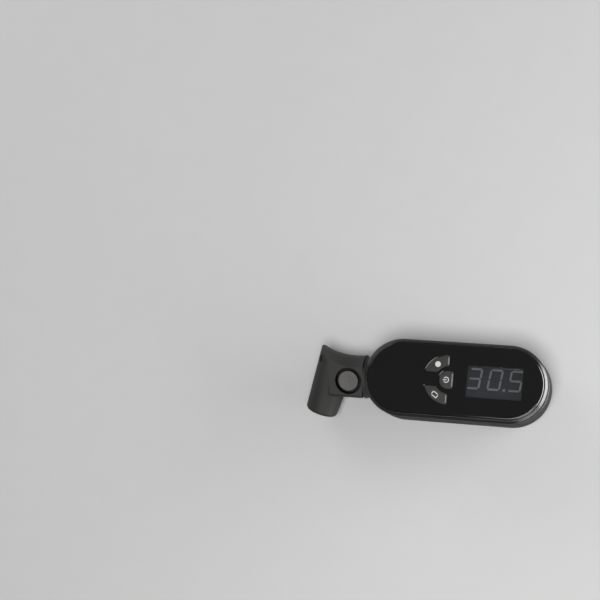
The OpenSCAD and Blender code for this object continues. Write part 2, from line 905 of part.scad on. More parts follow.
module contact_positive() {
    strip_z = holder_z + fit_gap;
    strip_r = cell_r + fit_gap;
    color([0.85, 0.8, 0.6]) translate([cell_x, 0, 0]) {
        difference() {
            wedge(strip_r + contact_t, 180, contact_angle, strip_z, holder_roof - strip_z);
            translate([0, 0, strip_z - cut]) cylinder(r = strip_r, h = holder_roof);
        }
        translate([-strip_r - contact_t / 2, 0, strip_z]) cylinder(r = contact_t / 2, h = board_z - strip_z);
    }
}

module battery_door() {
    coin_slot_l = 14;
    coin_slot_w = 2;
    coin_slot_t = 0.8;
    hollow_floor = 0.6;
    hollow_wall = 1.6;
    hollow_z = door_inset + door_lip_t + hollow_floor;
    hollow_r = door_plug_r - hollow_wall;
    color([0.14, 0.14, 0.14]) translate([cell_x, 0, 0]) difference() {
        union() {
            translate([0, 0, door_inset]) cylinder(r = door_lip_r, h = door_lip_t);
            translate([0, 0, door_inset]) cylinder(r = door_plug_r, h = door_top - door_inset);
            for (half_turn = [0, 180]) wedge(lug_r, half_turn, lug_half, lug_z, lug_t);
        }
        translate([-coin_slot_l / 2, -coin_slot_w / 2, -cut])
            cube([coin_slot_l, coin_slot_w, cut + door_inset + coin_slot_t]);
        translate([0, 0, hollow_z]) ring(hollow_r / 2, hollow_r, door_top);
    }
}

module battery_seal() {
    seal_in = 0.3;
    seal_w = 1.4;
    seal_r = door_lip_r - seal_in;
    color([0.2, 0.2, 0.2])
        translate([cell_x, 0, door_inset + door_lip_t + fit_gap / 2])
            ring(seal_r - seal_w, seal_r, door_seat - fit_gap);
}

// Neck
module neck_collar() {
    taper = 1.2;
    spigot_end = nut_x + nut_t;
    color([0.2, 0.2, 0.2]) difference() {
        union() {
            difference() {
                along_neck(collar_x)
                    cylinder(r1 = collar_r, r2 = collar_r - taper, h = collar_out + 2 * taper);
                body_outline(fit_gap);
            }
            along_neck(collar_x) cylinder(r = spigot_r, h = spigot_end - collar_x);
        }
        along_neck(collar_x - cut) cylinder(r = shaft_r + run_gap, h = spigot_end - collar_x + 2 * cut);
    }
}

module neck_nut() {
    color([0.72, 0.6, 0.3]) along_neck(nut_x + fit_gap) difference() {
        rotate([0, 0, 30]) cylinder(r = nut_r, h = nut_t - fit_gap, $fn = 6);
        translate([0, 0, -cut]) cylinder(r = spigot_r + fit_gap, h = nut_t + 2 * cut);
    }
}

module thrust_washer() {
    color([0.85, 0.85, 0.8]) along_neck(washer_x) ring(shaft_r + run_gap, thrust_r, thrust_t);
}

module swivel_clip() {
    mouth_share = 1.6;
    clip_mouth = mouth_share * clip_groove_r;
    color([0.6, 0.6, 0.62]) along_neck(clip_x) difference() {
        ring(clip_groove_r + fit_gap, clip_r, clip_t);
        translate([-clip_mouth / 2, 0, -cut]) cube([clip_mouth, 2 * clip_r, clip_t + 2 * cut]);
    }
}

module swivel_shaft() {
    shaft_start = tube_x + shaft_seat_x;
    color([0.8, 0.68, 0.35]) difference() {
        along_neck(shaft_start) cylinder(r = shaft_r, h = shaft_x - shaft_start);
        along_neck(shaft_start - cut) cylinder(r = passage_r, h = shaft_x - shaft_start + 2 * cut);
        along_neck(clip_x - fit_gap) ring(clip_groove_r, shaft_r + cut, clip_t + 2 * fit_gap);
        for (x = ring_xs)
            along_neck(x - ring_groove_w / 2) ring(ring_groove_r, shaft_r + cut, ring_groove_w);
    }
}

module swivel_seals() {
    color([0.12, 0.12, 0.12]) for (x = ring_xs)
        along_neck(x) o_ring(ring_groove_r + ring_wire + fit_gap / 2, ring_wire);
}

// Head
module tube_solid() {
    profile = concat(
        [[0, -tube_down]],
        quarter(tube_r_low - tube_round, -tube_down + tube_round, tube_round, tube_round, -90, 0),
        [[tube_r_high, tube_up], [0, tube_up]]
    );
    in_tube() rotate_extrude() polygon(profile);
}

// Round arm with a flat front, back and underside
module arm_solid() {
    in_head() intersection() {
        rotate([0, 90, 0]) cylinder(r = arm_r, h = arm_end);
        translate([0, -arm_low, -arm_back]) cube([arm_end, arm_low + arm_r, arm_back + arm_front]);
    }
}

// Thumb saddle: hollow along the head and round across it, cut into the head's upper half
module saddle_cut() {
    ring_r = saddle_low + saddle_r;
    intersection() {
        translate([saddle_x, 0, 0]) rotate([0, 90, 0])
            rotate_extrude() translate([ring_r, 0]) circle(saddle_r, $fn = 180);
        translate([-saddle_r, 0, -saddle_r]) cube(2 * saddle_r);
    }
}

// Small drilling between two points in the head's frame
module drilling(p, q, r) {
    d = q - p;
    translate(p)
        rotate([0, acos(d[2] / norm(d)), atan2(d[1], d[0])])
            cylinder(r = r, h = norm(d));
}

module head_housing() {
    vent_side = [-cos(lean) * cos(vent_turn), sin(lean) * cos(vent_turn), sin(vent_turn)];
    vent_mid = vent_up * [sin(lean), cos(lean), 0];
    vent_out = vent_mid + 2 * tube_r_high * vent_side;
    vent_in = vent_mid + (tube_r_high - vent_depth) * vent_side;
    vent_to_r = well_r - vent_well_in;
    well_side = [
        button_x - vent_to_r * cos(vent_well_turn),
        button_y + vent_to_r * sin(vent_well_turn),
        well_z + vent_well_h
    ];
    color([0.2, 0.2, 0.195]) difference() {
        union() {
            tube_solid();
            arm_solid();
        }
        in_head() {
            translate([-saddle_r, -saddle_r, arm_front]) cube(2 * saddle_r);
            saddle_cut();
            drilling(vent_out, vent_in, vent_r);
            drilling(vent_in, well_side, vent_drill_r);
            rotate([0, 90, 0]) cylinder(r = passage_r, h = arm_end);
            translate([shaft_seat_x, 0, 0]) rotate([0, 90, 0]) cylinder(r = shaft_r + fit_gap, h = arm_end);
        }
        in_button() {
            translate([0, 0, well_z]) cylinder(r = well_r, h = well_depth + cut);
            translate([0, 0, arm_front - well_bevel])
                cylinder(r1 = well_r, r2 = well_r + 2 * well_bevel, h = 2 * well_bevel);
            translate([0, 0, valve_bottom]) cylinder(r = valve_r, h = well_z - valve_bottom + cut);
        }
        in_tube() {
            translate([0, 0, -tube_down - cut]) cylinder(r = nose_r, h = cut + port_depth + washer_t);
            translate([0, 0, -tube_down]) cylinder(r = chamber_r, h = tube_down + chamber_top);
        }
    }
}

module nose_ring() {
    color([0.3, 0.3, 0.3]) in_tube() translate([0, 0, -tube_down]) difference() {
        cylinder(r = nose_r - fit_gap, h = port_depth);
        translate([0, 0, -cut]) cylinder(r = port_r, h = port_depth + 2 * cut);
        translate([0, 0, port_guide]) cylinder(r = port_r + port_relief, h = port_depth);
    }
}

module valve_gasket() {
    color([0.12, 0.12, 0.12])
        in_tube() translate([0, 0, -tube_down + port_depth + fit_gap])
            ring(washer_r, nose_r - fit_gap, washer_t - 2 * fit_gap);
}

module depressor_pin() {
    seat = -tube_down + port_depth + washer_t;
    pin_len = washer_t + pin_proud;
    color([0.8, 0.68, 0.35]) in_tube() difference() {
        union() {
            translate([0, 0, seat]) cylinder(r = chamber_r - fit_gap, h = pin_base_t);
            translate([0, 0, seat - pin_len]) cylinder(r = pin_r, h = pin_len + pin_base_t / 2);
        }
        for (turn = [0 : 60 : 300])
            rotate([0, 0, turn])
                translate([(chamber_r + pin_r) / 2, 0, seat - cut])
                    cylinder(r = pin_hole_r, h = pin_base_t + 2 * cut);
    }
}

// Release valve
module release_button() {
    cap_z = arm_front - button_t;
    skirt_z = cap_z - button_skirt;
    color([0.4, 0.39, 0.385]) in_button() difference() {
        translate([0, 0, skirt_z]) cylinder(r = button_r, h = button_t + button_skirt);
        translate([0, 0, skirt_z - cut]) cylinder(r = button_r - button_skirt_w, h = button_skirt + cut);
        translate([0, 0, skirt_z]) cylinder(r = stem_r + fit_gap, h = stem_top - skirt_z);
    }
}

module release_stem() {
    color("silver") in_button() {
        translate([0, 0, poppet_z]) cylinder(r = poppet_r, h = poppet_t);
        translate([0, 0, poppet_z]) cylinder(r = stem_r, h = stem_top - poppet_z);
    }
}

module release_seal() {
    color([0.12, 0.12, 0.12]) in_button()
        translate([0, 0, poppet_z + poppet_t + release_wire + fit_gap / 2])
            o_ring(stem_r + release_wire + fit_gap, release_wire);
}

module release_guide() {
    color([0.1, 0.1, 0.1]) in_button() difference() {
        union() {
            translate([0, 0, guide_z]) cylinder(r = valve_r - fit_gap, h = well_z - guide_z + guide_lip_t);
            translate([0, 0, well_z]) cylinder(r = guide_lip_r, h = guide_lip_t);
        }
        translate([0, 0, guide_z - cut])
            cylinder(r = stem_r + stem_gap, h = guide_len + guide_lip_t + 2 * cut);
    }
}

// Coil spring as one tube swept along a helix
module release_spring() {
    rings = floor(spring_turns * SPRING_STEPS);
    points = [
        for (i = [0 : rings])
            let (turn = 360 * i / SPRING_STEPS, z = spring_low + (spring_high - spring_low) * i / rings)
                for (k = [0 : SPRING_SIDES - 1])
                    let (side = 360 * k / SPRING_SIDES, r = spring_r + spring_wire_r * cos(side))
                        [r * cos(turn), r * sin(turn), z + spring_wire_r * sin(side)]
    ];
    walls = [
        for (i = [0 : rings - 1])
            for (k = [0 : SPRING_SIDES - 1])
                let (a = i * SPRING_SIDES + k, b = i * SPRING_SIDES + (k + 1) % SPRING_SIDES)
                    each [[a, a + SPRING_SIDES, b], [b, a + SPRING_SIDES, b + SPRING_SIDES]]
    ];
    first_end = [for (k = [1 : SPRING_SIDES - 2]) [0, k, k + 1]];
    last = rings * SPRING_SIDES;
    last_end = [for (k = [1 : SPRING_SIDES - 2]) [last, last + k + 1, last + k]];
    color("silver") in_button() polyhedron(points, concat(walls, first_end, last_end));
}

rear_shell();
front_shell();
shell_seal();
face_panel();
panel_gasket();
case_screws();
display_lens();
lcd_segments();
lcd_glass();
lcd_frame();
backlight_panel();
zebra_strips();
circuit_board();
board_chips();
board_screws();
light_key();
power_key();
mode_key();
light_dome();
power_dome();
mode_dome();
pressure_sensor();
sensor_seal();
air_manifold();
manifold_screws();
coin_cell();
battery_holder();
contact_negative();
contact_positive();
battery_door();
battery_seal();
neck_collar();
neck_nut();
thrust_washer();
swivel_clip();
swivel_shaft();
swivel_seals();
head_housing();
nose_ring();
valve_gasket();
depressor_pin();
release_button();
release_stem();
release_seal();
release_guide();
release_spring();
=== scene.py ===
"""Looks of a digital tyre pressure gauge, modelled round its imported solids.

Shapes are worked out in millimetres, in the part's own frame, and turned into metres
when a mesh is made. The gauge lies on its back and the camera looks down on its face.
"""

import json
import math

import bmesh
import bpy
import numpy as np
from mathutils import Matrix, Vector


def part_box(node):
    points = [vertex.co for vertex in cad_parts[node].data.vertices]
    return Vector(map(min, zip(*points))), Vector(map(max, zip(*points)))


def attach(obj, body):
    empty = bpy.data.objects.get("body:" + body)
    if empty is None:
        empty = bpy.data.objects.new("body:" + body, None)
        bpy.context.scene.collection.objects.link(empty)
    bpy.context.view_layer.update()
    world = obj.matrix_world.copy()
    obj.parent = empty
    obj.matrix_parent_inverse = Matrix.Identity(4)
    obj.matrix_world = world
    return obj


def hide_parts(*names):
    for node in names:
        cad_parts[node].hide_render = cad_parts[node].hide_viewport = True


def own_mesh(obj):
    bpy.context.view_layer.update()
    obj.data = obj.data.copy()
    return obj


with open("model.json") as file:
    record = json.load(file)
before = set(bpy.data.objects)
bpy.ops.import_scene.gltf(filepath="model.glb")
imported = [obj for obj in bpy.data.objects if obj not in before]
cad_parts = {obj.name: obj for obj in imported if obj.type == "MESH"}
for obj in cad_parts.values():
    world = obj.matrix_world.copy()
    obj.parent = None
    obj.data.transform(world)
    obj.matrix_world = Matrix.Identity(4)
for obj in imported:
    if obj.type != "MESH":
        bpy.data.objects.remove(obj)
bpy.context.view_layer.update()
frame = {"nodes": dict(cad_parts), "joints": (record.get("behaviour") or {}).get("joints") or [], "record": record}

MM = 0.001


def box_mm(node):
    """Lowest and highest corner of a solid, in millimetres."""
    low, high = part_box(node)
    return np.array(low) / MM, np.array(high) / MM


def exact(size, digits=3):
    """A size in millimetres without the small errors that boxes and places carry."""
    return round(float(size), digits)


def joint(name):
    return next(j for j in frame["joints"] if j["name"] == name)


def mount(name):
    return next(m for m in frame["record"]["mounts"] if m["name"] == name)


# Sizes of the body
REAR_LOW, REAR_HIGH = box_mm("rear_shell")
FRONT_LOW, FRONT_HIGH = box_mm("front_shell")
PANEL_LOW, PANEL_HIGH = box_mm("face_panel")
LENS_LOW, LENS_HIGH = box_mm("display_lens")
BODY_R = (REAR_HIGH[1] - REAR_LOW[1]) / 2
END_X = (REAR_HIGH[0] - REAR_LOW[0]) / 2 - BODY_R
FRONT_R = (FRONT_HIGH[1] - FRONT_LOW[1]) / 2
RIM_Z = FRONT_HIGH[2]
FACE_R = (PANEL_HIGH[1] - PANEL_LOW[1]) / 2
FACE_Z = PANEL_HIGH[2]
PANEL_Z = PANEL_LOW[2]
PANEL_BEVEL = 0.4
PANEL_BEVEL_ROUND = 0.25
PANEL_FOOT = 0.3
PANEL_FOOT_ROUND = 0.1
TONGUE_H = 1.0
SEAM_Z = exact(REAR_HIGH[2] - TONGUE_H)
SEAM_GAP = 0.25
SEAM_EDGE = 0.35
SEAM_ROUND = 0.06
WALL = 2.0
TONGUE_R = BODY_R - WALL / 2
REBATE_H = 1.6
BACK_R = 14.6
BACK_ROUND_H = 9.0
FLOOR_T = 2.2
SEAT_GAP = 0.15
SEAT_R = FACE_R + SEAT_GAP
RIM_W = 0.35
RIM_R = SEAT_R + RIM_W
RIM_ROUND = 0.1
EDGE_ROUND = 0.08
SHOULDER_H = 1.2
SHOULDER_ROUND = 0.25
FRONT_FOOT_ROUND = 0.3
LEDGE_W = 1.5
LEDGE_R = FACE_R - LEDGE_W
GASKET_ROOM = 0.3
LEDGE_TOP = PANEL_Z - GASKET_ROOM
LEDGE_T = 1.4
FIT_GAP = 0.05
MOVE_GAP = 0.2
WINDOW_FLANGE = 1
WINDOW_CORNER = 0.3
WINDOW_GAP = 0.03
WINDOW_EDGE = 0.04
FLANGE_CORNER = 0.4

# Reach of a cutter past what it cuts, and of a look past the edge that it starts at
CUT = 1
LOOK_MARGIN = 0.05

# Sizes of the keys
LIGHT_LOW, LIGHT_HIGH = box_mm("light_key")
POWER_HIGH = box_mm("power_key")[1]
SOLID_LIP = 0.7
KEY_X = exact(LIGHT_HIGH[0] - SOLID_LIP)
KEY_R_IN = 6.15
KEY_R_OUT = exact(LIGHT_HIGH[1] - SOLID_LIP)
KEY_LOW = exact(LIGHT_LOW[1] + SOLID_LIP)
KEY_TOP = POWER_HIGH[2]
POWER_R = 4.1
POWER_FLAT = exact(POWER_HIGH[0] - SOLID_LIP - KEY_X)
KEY_LIP = 0.6
KEY_LIP_DROP = 0.9
KEY_LIP_Z = PANEL_Z - KEY_LIP_DROP
KEY_LIP_T = 0.8
KEY_BEVEL = 0.7
KEY_BEVEL_H = 0.55
KEY_EDGE = 0.12
KEY_EDGE_H = 0.12
KEY_INSET = 0.05
KEY_CORNER = 0.9
HOLE_EDGE = 0.22
HOLE_SLOPE = 0.24
HOLE_EDGE_H = 0.125
HOLE_ROOT = 0.1

# How far an outline faces the display where a key's bevel widens and a hole's raised edge fades
WIDE_FROM = 0.9
WIDE_RUN = 0.08
FADE_FROM = 0.95
FADE_RUN = 0.35
FADE_LEAST = 0.02

# Sizes of the marks on the keys
PRINT_T = 0.03
PRINT_SINK = 0.01
MARK_LINE = 0.4
DOT_R = 1.3
DOT_AT = (-7.9, 6.8, 0)
BOW_R = 1.15
BOW_OPENING = 38
BAR_IN = 0.2
BAR_OUT = 1.5
BRACKET_HALF_W = 1.4
BRACKET_HALF_H = 0.9
BRACKET_GAP = 0.3
BRACKET_CORNER = 0.4
BRACKETS_AT = (-8.2, -6.95, 0)
BRACKETS_TURN = math.radians(-36)

# Sizes of the neck and the battery door
COLLAR_LOW, COLLAR_HIGH = box_mm("neck_collar")
DOOR_LOW, DOOR_HIGH = box_mm("battery_door")
NECK_Z = joint("head_swivel")["pos_m"][2] / MM
COLLAR_R = (COLLAR_HIGH[1] - COLLAR_LOW[1]) / 2
COLLAR_HOLE_R = 4.06
COLLAR_T = 3.2
COLLAR_TAPER = 1.0
COLLAR_ROUND = 0.2
SPIGOT_R = 5.26
DOOR_X = joint("battery_door_turn")["pos_m"][0] / MM
DOOR_R = (DOOR_HIGH[1] - DOOR_LOW[1]) / 2
DOOR_LIP_T = 1.2
DOOR_RECESS = 1.5
DOOR_RECESS_FLARE = 0.25
DOOR_ROUND = 0.4
DOOR_FLAT = 1
DOOR_PLUG_R = 10.4
DOOR_HOLE_R = 10.6
SLOT_R = 1.1
SLOT_HALF = 5.9
SLOT_DEEP = 0.9
SLOT_FLARE = 0.2
SLOT_POINTS = 17
SCREW_LOW, SCREW_HIGH = box_mm("case_screws")
SCREW_HEAD_R = 2.4
SCREW_GAP = 0.1
SCREW_SINK = 1.9
SCREW_FLARE = 0.2

# Sizes of the head, in its own frame: X towards the body, Y up, Z to the front
VALVE_PORT = mount("valve_port")
VALVE_AXIS = VALVE_PORT["axis"]
PRESS_AXIS = joint("release_press")["axis"]
SWIVEL = math.atan2(PRESS_AXIS[1], -PRESS_AXIS[2])
LEAN = math.asin(-VALVE_AXIS[0])
ARM_LEN = 16.2
ARM_GAP = exact(COLLAR_LOW[0] - box_mm("head_housing")[1][0])
ARM_END = ARM_LEN - ARM_GAP
ARM_R = 10.9
ARM_FRONT = 8.0
ARM_BACK = 8.2
ARM_LOW = 8.6
TUBE_X = COLLAR_LOW[0] - ARM_LEN
VALVE_FROM = np.array(VALVE_PORT["pos_m"]) / MM - (TUBE_X, 0, NECK_Z)
TUBE_DOWN = exact(np.linalg.norm(VALVE_FROM) + VALVE_PORT["dims"]["length_mm"] / 2, 2)
TUBE_UP = 14.0
TUBE_R_LOW = 7.3
TUBE_R_HIGH = 9.2
TUBE_ROUND = 1.5
TUBE_TOP_ROUND = 0.8
SADDLE_R = 32.0
SADDLE_LOW = 9.9
SADDLE_X = 10.5
BUTTON_LOW, BUTTON_HIGH = box_mm("release_button")
BUTTON_X = exact((BUTTON_LOW[0] + BUTTON_HIGH[0]) / 2 - TUBE_X)
BUTTON_Y = -0.6
BUTTON_R = exact((BUTTON_HIGH[0] - BUTTON_LOW[0]) / 2)
BUTTON_T = 1.1
BUTTON_SKIRT = 0.7
BUTTON_DEEP = 1.8
BUTTON_DISH = 0.12
BUTTON_ROUND = 0.4
BUTTON_BAND = 1
DISH_ROUND = 0.5
DISH_R = 1
DISH_MIDDLE_R = 0.2
# Depth under the button's top below which its skirt gets painted shade
BUTTON_SHADE_H = 0.3
WELL_R = 6.0
WELL_ROUND = 0.25
# Reach of the painted shade on the well's walls: past its radius, and short of its mouth
WELL_SHADE_W = 0.3
WELL_SHADE_H = 0.03
WELL_Z = 4.6
GUIDE_LIP_T = 0.5
SPRING_LOW, SPRING_HIGH = box_mm("release_spring")
SPRING_WIRE_R = 0.14
SPRING_R = exact((SPRING_HIGH[0] - SPRING_LOW[0]) / 2 - SPRING_WIRE_R)
SPRING_TURNS = 2
SPRING_STEPS = 48
SPRING_SIDES = 12
SPRING_GAP = 0.02
VALVE_R = 2.2
VALVE_Z = -1.9
NOSE_R = 6.0
NOSE_DEEP = 7.6
NOSE_ROUND = 0.15
CHAMBER_R = 3.0
CHAMBER_TOP = 3.0
SHAFT_HOLE_R = 4.05
SHAFT_SEAT = 4.2
PASSAGE_R = 1.5
VENT_R = 1.65
VENT_UP = 6.8
VENT_TURN = math.radians(37)
VENT_DEEP = 4.0
VENT_ROUND = 0.2
TUBE_EDGE = 0.6
ARM_EDGE = 0.15
ARM_BACK_ROUND = 1.0
ARM_LOW_ROUND = 0.5
ARM_FILLET = 0.5
EDGE_CHANGE_X = 4
EDGE_CHANGE_RUN = 6
HEAD_FRAME = Matrix.Translation((TUBE_X, 0, NECK_Z)) @ Matrix.Rotation(SWIVEL, 4, "X")
BUTTON_FRAME = HEAD_FRAME @ Matrix.Translation((BUTTON_X, BUTTON_Y, 0))

# Box and cell that the head's skin is worked out in
HEAD_LOW = (-15, -21, -10)
HEAD_HIGH = (17.5, 18, 9.5)
HEAD_STEP = 0.2
SETTLE_ROUNDS = 3

# Numbers of points on each kind of curve
ARC_POINTS = 65
ROUND_POINTS = 128
CORNER_POINTS = 7
SIDE_POINTS = 24
BEND_POINTS = 10
LINE_POINTS = 20
CURVE_POINTS = 60
BACK_POINTS = 30
BACK_INNER_POINTS = 12

# Reach of a bend's handles, as a share of its corner
BEND_PULL = 0.6


# Mesh helpers
def link(name, mesh):
    obj = bpy.data.objects.new(name, mesh)
    bpy.context.scene.collection.objects.link(obj)
    return obj


def mesh_object(name, verts, faces):
    """A new object from points in millimetres, with its faces turned outwards."""
    mesh = bpy.data.meshes.new(name)
    mesh.from_pydata((np.asarray(verts, float) * MM).tolist(), [], [tuple(f) for f in faces])
    work = bmesh.new()
    work.from_mesh(mesh)
    bmesh.ops.recalc_face_normals(work, faces=work.faces)
    work.to_mesh(mesh)
    work.free()
    return link(name, mesh)


def smooth(obj, angle=30):
    """Soft shading, but for edges sharper than an angle in degrees."""
    obj.data.shade_smooth()
    obj.data.set_sharp_from_angle(angle=math.radians(angle))
    return obj


def second_look(obj, material, wanted):
    """Gives a second material to the faces whose middle, in millimetres, is wanted."""
    obj.data.materials.append(material)
    for face in obj.data.polygons:
        if wanted(face.center / MM):
            face.material_index = 1


def place(obj, material, body, slot, *nodes):
    """Gives a piece its material, the body that it moves with and the solids it stands for."""
    obj.data.materials.clear()
    obj.data.materials.append(material)
    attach(obj, body)
    if nodes:
        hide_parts(*nodes)


def loft(loops, closed=False):
    """Points and faces between loops of points, closed into a ring or capped at both ends."""
    count = len(loops[0])
    rows = len(loops)
    faces = []
    for i in range(rows if closed else rows - 1):
        a = i * count
        b = (i + 1) % rows * count
        for k in range(count):
            n = (k + 1) % count
            faces.append((a + k, a + n, b + n, b + k))
    if not closed:
        faces.append(range(count))
        faces.append(range((rows - 1) * count, rows * count))
    return np.concatenate(loops), faces


def capsule_loop(r, z):
    """Points round a capsule of the body's length."""
    turn = np.radians(np.linspace(-90, 90, ARC_POINTS))
    half = np.stack([END_X + r * np.cos(turn), r * np.sin(turn), np.full(ARC_POINTS, z)], 1)
    return np.concatenate([half, half * [-1, -1, 1]])


def circle_loop(r, z):
    turn = np.linspace(0, 2 * math.pi, ROUND_POINTS, endpoint=False)
    return np.stack([r * np.cos(turn), r * np.sin(turn), np.full(ROUND_POINTS, z)], 1)


def profile(*points, closed=False):
    """Points [radius, height] along a line whose corners are rounded by their third number."""
    places = [np.array(p[:2], float) for p in points]
    out = []
    for i, p in enumerate(points):
        here = places[i]
        ends = not closed and i in (0, len(points) - 1)
        if len(p) == 2 or ends:
            out.append(here)
            continue
        before = places[i - 1] - here
        after = places[(i + 1) % len(points)] - here
        a = here + before * min(p[2] / np.linalg.norm(before), 0.5)
        b = here + after * min(p[2] / np.linalg.norm(after), 0.5)
        for t in np.linspace(0, 1, CORNER_POINTS):
            out.append((1 - t) ** 2 * a + 2 * t * (1 - t) * here + t**2 * b)
    return out


def ellipse(r0, z0, dr, dz, start, end, count):
    """Points [radius, height] on an ellipse about (r0, z0), between two angles in degrees."""
    turn = np.radians(np.linspace(start, end, count))
    return [(r0 + dr * math.cos(a), z0 + dz * math.sin(a)) for a in turn]


def capsule_piece(name, points, closed=False):
    return mesh_object(name, *loft([capsule_loop(r, z) for r, z in points], closed))


def turned_piece(name, points, closed=False):
    return mesh_object(name, *loft([circle_loop(r, z) for r, z in points], closed))


def move(obj, matrix):
    """Moves a new piece's points by a matrix in millimetres."""
    scale = Matrix.Scale(MM, 4)
    obj.data.transform(scale @ matrix @ scale.inverted())
    return obj


def combine(obj, operation, others):
    """Adds other pieces to the piece or takes them away from it, and deletes them."""
    for other in others:
        step = obj.modifiers.new("combine", "BOOLEAN")
        step.operation = operation
        step.solver = "MANIFOLD"
        step.object = other
    view = bpy.context.evaluated_depsgraph_get()
    obj.data = bpy.data.meshes.new_from_object(obj.evaluated_get(view))
    obj.modifiers.clear()
    for other in others:
        bpy.data.objects.remove(other)


def cut(obj, *cutters):
    combine(obj, "DIFFERENCE", cutters)


def join(name, pieces):
    """One piece from several."""
    work = bmesh.new()
    for piece in pieces:
        work.from_mesh(piece.data)
        bpy.data.objects.remove(piece)
    mesh = bpy.data.meshes.new(name)
    work.to_mesh(mesh)
    work.free()
    return link(name, mesh)


# Outlines in the plane of the face
def rounded(curves, corner):
    """One closed outline from curves that meet at sharp corners, with each corner rounded."""
    trimmed = []
    for curve in curves:
        steps = np.linalg.norm(np.diff(curve, axis=0), axis=1)
        along = np.concatenate([[0], np.cumsum(steps)])
        wanted = np.linspace(corner, along[-1] - corner, SIDE_POINTS)
        trimmed.append(np.stack([np.interp(wanted, along, curve[:, k]) for k in (0, 1)], 1))
    points = []
    pull = corner * BEND_PULL
    t = np.linspace(0, 1, BEND_POINTS)[1:-1, None]
    for i, curve in enumerate(trimmed):
        following = trimmed[(i + 1) % len(trimmed)]
        leave = curve[-1] - curve[-2]
        arrive = following[1] - following[0]
        a = curve[-1]
        d = following[0]
        b = a + leave / np.linalg.norm(leave) * pull
        c = d - arrive / np.linalg.norm(arrive) * pull
        bend = (1 - t) ** 3 * a + 3 * t * (1 - t) ** 2 * b + 3 * t**2 * (1 - t) * c + t**3 * d
        points += [curve, bend]
    return np.concatenate(points)


def outward(outline):
    """Unit vectors out of a counter-clockwise outline, at its points."""
    along = np.roll(outline, -1, 0) - np.roll(outline, 1, 0)
    along /= np.linalg.norm(along, axis=1)[:, None]
    return np.stack([along[:, 1], -along[:, 0]], 1)


def grown(outline, by):
    """A counter-clockwise outline moved outwards, or inwards where the distance is negative."""
    return outline + np.reshape(by, (-1, 1)) * outward(outline)


def level(outline, z):
    return np.column_stack([outline, np.full(len(outline), z)])


def circle_curve(r, start, end, count=CURVE_POINTS):
    turn = np.radians(np.linspace(start, end, count))
    return np.stack([KEY_X + r * np.cos(turn), r * np.sin(turn)], 1)


def line_curve(a, b):
    t = np.linspace(0, 1, LINE_POINTS)[:, None]
    return np.array(a) * (1 - t) + np.array(b) * t


def sector_outline(side):
    """Outline of a sector key: side is 1 for the upper one and -1 for the lower one."""
    low_out = 180 - math.degrees(math.asin(KEY_LOW / KEY_R_OUT))
    low_in = 180 - math.degrees(math.asin(KEY_LOW / KEY_R_IN))
    outer = circle_curve(KEY_R_OUT, 90, low_out)
    inner = circle_curve(KEY_R_IN, low_in, 90)
    lower = line_curve(outer[-1], inner[0])
    upright = line_curve(inner[-1], outer[0])
    outline = rounded([outer, lower, inner, upright], KEY_CORNER)
    return outline if side > 0 else (outline * [1, -1])[::-1]


def power_outline():
    """Outline of the middle key, a disc with a flat side towards the display."""
    half = math.degrees(math.acos(POWER_FLAT / POWER_R))
    bow = circle_curve(POWER_R, half, 360 - half, 2 * CURVE_POINTS)
    return rounded([bow, line_curve(bow[-1], bow[0])], KEY_CORNER)


def box_outline(low, high, corner):
    corners = [(low[0], low[1]), (high[0], low[1]), (high[0], high[1]), (low[0], high[1])]
    return rounded([line_curve(corners[i - 1], corners[i]) for i in range(4)], corner)


# Materials
def shader(name):
    material = bpy.data.materials.new(name)
    material.use_nodes = True
    return material, material.node_tree.nodes, material.node_tree.links


def add(nodes, kind, **values):
    """A node with its named inputs set."""
    node = nodes.new(kind)
    for key, value in values.items():
        node.inputs[key.replace("_", " ")].default_value = value
    return node


def ramp(nodes, color, low, high, start=0.3, end=0.7):
    """A ramp from a darker to a lighter shade of a colour."""
    node = nodes.new("ShaderNodeValToRGB")
    first, last = node.color_ramp.elements
    first.position, last.position = start, end
    first.color = [c * low for c in color] + [1]
    last.color = [min(c * high, 1) for c in color] + [1]
    return node


def plastic(name, color, roughness, grain=0.005, grain_size=0.25, spread=0.12, specular=0.5, patch=11.0):
    """Moulded plastic: a fine bump and patches of uneven tone and gloss, their sizes in millimetres."""
    material, nodes, links = shader(name)
    surface = nodes["Principled BSDF"]
    surface.inputs["Specular IOR Level"].default_value = specular
    place_in = add(nodes, "ShaderNodeTexCoord")
    fine = add(nodes, "ShaderNodeTexNoise", Scale=1 / (grain_size * MM), Detail=3.0, Roughness=0.6)
    broad = add(nodes, "ShaderNodeTexNoise", Scale=1 / (patch * MM), Detail=4.0, Roughness=0.6)
    tint = ramp(nodes, color, 1 - spread, 1 + spread)
    dull = add(nodes, "ShaderNodeMapRange", From_Min=0.3, From_Max=0.7)
    dull.inputs["To Min"].default_value = roughness * 0.9
    dull.inputs["To Max"].default_value = min(roughness * 1.1, 1.0)
    bump = add(nodes, "ShaderNodeBump", Strength=1.0, Distance=grain * MM)
    links.new(place_in.outputs["Object"], fine.inputs["Vector"])
    links.new(place_in.outputs["Object"], broad.inputs["Vector"])
    links.new(broad.outputs["Fac"], tint.inputs["Fac"])
    links.new(broad.outputs["Fac"], dull.inputs["Value"])
    links.new(fine.outputs["Fac"], bump.inputs["Height"])
    links.new(tint.outputs["Color"], surface.inputs["Base Color"])
    links.new(dull.outputs["Result"], surface.inputs["Roughness"])
    links.new(bump.outputs["Normal"], surface.inputs["Normal"])
    return material


